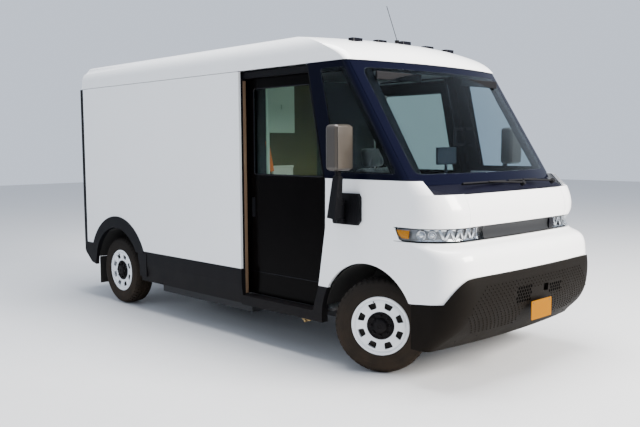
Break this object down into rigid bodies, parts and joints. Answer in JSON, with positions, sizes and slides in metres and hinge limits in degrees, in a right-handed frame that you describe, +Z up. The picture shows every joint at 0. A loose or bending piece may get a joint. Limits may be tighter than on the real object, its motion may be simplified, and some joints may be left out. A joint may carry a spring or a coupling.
{
  "type": "mail delivery truck",
  "caption": "Walk-in electric delivery truck with a box body, sliding cab doors, rear swing doors, steered front wheels and a partitioned cargo hold.",
  "frame": {"origin": "on the ground, under the centre of the truck's length and width", "axes": "+Z up, -Y the way the truck drives forward, +X the truck's left side"},
  "size_m": [2.598, 5.975, 3.0609],
  "materials": {
    "white_paint": "gloss white paint",
    "black_trim": "fine-grained black plastic",
    "charcoal_plastic": "textured charcoal bumper plastic",
    "gloss_black": "gloss black",
    "clear_glass": "laminated clear glass",
    "tinted_glass": "green tinted glass",
    "clear_lens": "clear moulded lens",
    "red_lens": "moulded red lens",
    "lamp_chrome": "bright reflector plating",
    "satin_grey": "satin dark grey",
    "chassis_black": "satin black chassis paint",
    "cast_metal": "bare cast metal",
    "battery_case": "pressed aluminium case",
    "floor_plate": "ribbed floor plate",
    "grey_lining": "satin pale grey paint",
    "liner_black": "moulded felt-textured liner",
    "dash_plastic": "grained dark dashboard plastic",
    "seat_fabric": "dark woven seat cloth",
    "pale_rail": "pale powder coat",
    "orange_plate": "orange enamel plate, blank",
    "tyre_rubber": "black tyre rubber",
    "white_steel": "white enamelled steel"
  },
  "bodies": {
    "body": {"chassis_frame": "chassis_black", "battery_pack": "battery_case", "cargo_floor": "floor_plate", "suspension": "chassis_black", "rear_axle": "cast_metal", "side_panels": "white_paint", "cargo_lining": "grey_lining", "cargo_roof": "white_paint", "cab_roof": "white_paint", "rear_portal": "black_trim", "tail_lamps": "red_lens", "rear_bumper": "black_trim", "side_skirts": "black_trim", "arch_liners": "liner_black", "front_clip": "white_paint", "nose_panel": "white_paint", "front_bumper": "charcoal_plastic", "cowl": "gloss_black", "windshield": "clear_glass", "quarter_windows": "clear_glass", "cab_frame": "gloss_black", "bulkhead": "grey_lining", "dashboard": "dash_plastic", "seat_base": "chassis_black", "seat_cushion": "seat_fabric", "seat_back": "seat_fabric", "grab_rails": "pale_rail", "headlamp_housings": "lamp_chrome", "headlamp_lenses": "clear_lens", "light_bar": "satin_grey", "marker_lamps": "black_trim", "antenna": "black_trim", "number_plate": "orange_plate", "mirror_bases": "black_trim"},
    "bulkhead_door": {"bulkhead_door": "grey_lining"},
    "steering_wheel": {"steering_wheel": "dash_plastic"},
    "brake_pedal": {"brake_pedal": "chassis_black"},
    "accelerator_pedal": {"accelerator_pedal": "chassis_black"},
    "cab_door_right": {"cab_door_right": "gloss_black", "door_window_right": "tinted_glass"},
    "rear_door_right": {"rear_door_right": "white_paint"},
    "mirror_arm_right": {"mirror_arm_right": "black_trim"},
    "mirror_head_right": {"mirror_head_right": "black_trim"},
    "wiper_right": {"wiper_right": "black_trim"},
    "knuckle_right": {"knuckle_right": "cast_metal"},
    "wheel_front_right": {"tyre_front_right": "tyre_rubber", "wheel_front_right": "white_steel"},
    "wheel_rear_right": {"tyre_rear_right": "tyre_rubber", "wheel_rear_right": "white_steel"},
    "cab_door_left": {"cab_door_left": "gloss_black", "door_window_left": "tinted_glass"},
    "rear_door_left": {"rear_door_left": "white_paint"},
    "mirror_arm_left": {"mirror_arm_left": "black_trim"},
    "mirror_head_left": {"mirror_head_left": "black_trim"},
    "wiper_left": {"wiper_left": "black_trim"},
    "knuckle_left": {"knuckle_left": "cast_metal"},
    "wheel_front_left": {"tyre_front_left": "tyre_rubber", "wheel_front_left": "white_steel"},
    "wheel_rear_left": {"tyre_rear_left": "tyre_rubber", "wheel_rear_left": "white_steel"}
  },
  "joints": [
    {"name": "cab_door_right_slide", "type": "slide", "parent": "body", "child": "cab_door_right", "axis": [0, 1, 0], "range_m": [0, 1.04]},
    {"name": "rear_door_right_hinge", "type": "hinge", "parent": "body", "child": "rear_door_right", "pos_m": [-0.905, 2.6095, 1.55], "axis": [0, 0, 1], "range_deg": [0, 100]},
    {"name": "mirror_right_fold", "type": "hinge", "parent": "body", "child": "mirror_arm_right", "pos_m": [-1.09, -1.8275, 1.28], "axis": [0, 0, 1], "range_deg": [-90, 20]},
    {"name": "mirror_right_turn", "type": "hinge", "parent": "mirror_arm_right", "child": "mirror_head_right", "pos_m": [-1.172, -1.8825, 1.613], "axis": [0, 0, 1], "range_deg": [-15, 15]},
    {"name": "steer_right", "type": "hinge", "parent": "body", "child": "knuckle_right", "pos_m": [-0.8, -2.0425, 0.382], "axis": [0, 0, 1], "range_deg": [-63, 7]},
    {"name": "wheel_front_right_spin", "type": "hinge", "parent": "knuckle_right", "child": "wheel_front_right", "pos_m": [-0.85916, -2.07395, 0.382], "axis": [0.8829, 0.4695, 0], "continuous": true},
    {"name": "wheel_rear_right_spin", "type": "hinge", "parent": "body", "child": "wheel_rear_right", "pos_m": [-0.867, 1.8555, 0.382], "axis": [1, 0, 0], "continuous": true},
    {"name": "cab_door_left_slide", "type": "slide", "parent": "body", "child": "cab_door_left", "axis": [0, 1, 0], "range_m": [0, 1.04]},
    {"name": "rear_door_left_hinge", "type": "hinge", "parent": "body", "child": "rear_door_left", "pos_m": [0.905, 2.6095, 1.55], "axis": [0, 0, -1], "range_deg": [0, 100]},
    {"name": "mirror_left_fold", "type": "hinge", "parent": "body", "child": "mirror_arm_left", "pos_m": [1.09, -1.8275, 1.28], "axis": [0, 0, -1], "range_deg": [-90, 20]},
    {"name": "mirror_left_turn", "type": "hinge", "parent": "mirror_arm_left", "child": "mirror_head_left", "pos_m": [1.172, -1.8825, 1.613], "axis": [0, 0, -1], "range_deg": [-15, 15]},
    {"name": "steer_left", "type": "hinge", "parent": "body", "child": "knuckle_left", "pos_m": [0.8, -2.0425, 0.382], "axis": [0, 0, 1], "range_deg": [-63, 7]},
    {"name": "wheel_front_left_spin", "type": "hinge", "parent": "knuckle_left", "child": "wheel_front_left", "pos_m": [0.85916, -2.01105, 0.382], "axis": [0.8829, 0.4695, 0], "continuous": true},
    {"name": "wheel_rear_left_spin", "type": "hinge", "parent": "body", "child": "wheel_rear_left", "pos_m": [0.867, 1.8555, 0.382], "axis": [1, 0, 0], "continuous": true},
    {"name": "wiper_right_sweep", "type": "hinge", "parent": "body", "child": "wiper_right", "pos_m": [0.13, -2.7145, 1.488], "axis": [0, -0.8348, 0.5506], "range_deg": [-85, 0]},
    {"name": "wiper_left_sweep", "type": "hinge", "parent": "body", "child": "wiper_left", "pos_m": [0.6, -2.7125, 1.488], "axis": [0, -0.8348, 0.5506], "range_deg": [-85, 0]},
    {"name": "steering_wheel_turn", "type": "hinge", "parent": "body", "child": "steering_wheel", "pos_m": [0.42, -1.8645, 1.254], "axis": [0, -0.917, -0.399], "range_deg": [-98, 882]},
    {"name": "bulkhead_door_slide", "type": "slide", "parent": "body", "child": "bulkhead_door", "axis": [1, 0, 0], "range_m": [0, 0.58]},
    {"name": "brake_pedal_press", "type": "hinge", "parent": "body", "child": "brake_pedal", "pos_m": [0.455, -2.0625, 0.87], "axis": [-1, 0, 0], "range_deg": [0, 14], "stiffness_Nm_per_rad": 30, "springref_deg": -2.86},
    {"name": "accelerator_pedal_press", "type": "hinge", "parent": "body", "child": "accelerator_pedal", "pos_m": [0.33, -2.0625, 0.87], "axis": [-1, 0, 0], "range_deg": [0, 14], "stiffness_Nm_per_rad": 8, "springref_deg": -2.86}
  ],
  "couplings": [
    {"joint": "wiper_left_sweep", "follows": "wiper_right_sweep", "ratio": 1},
    {"joint": "steer_left", "follows": "steer_right", "ratio": 1},
    {"joint": "steering_wheel_turn", "follows": "steer_right", "ratio": -14}
  ]
}
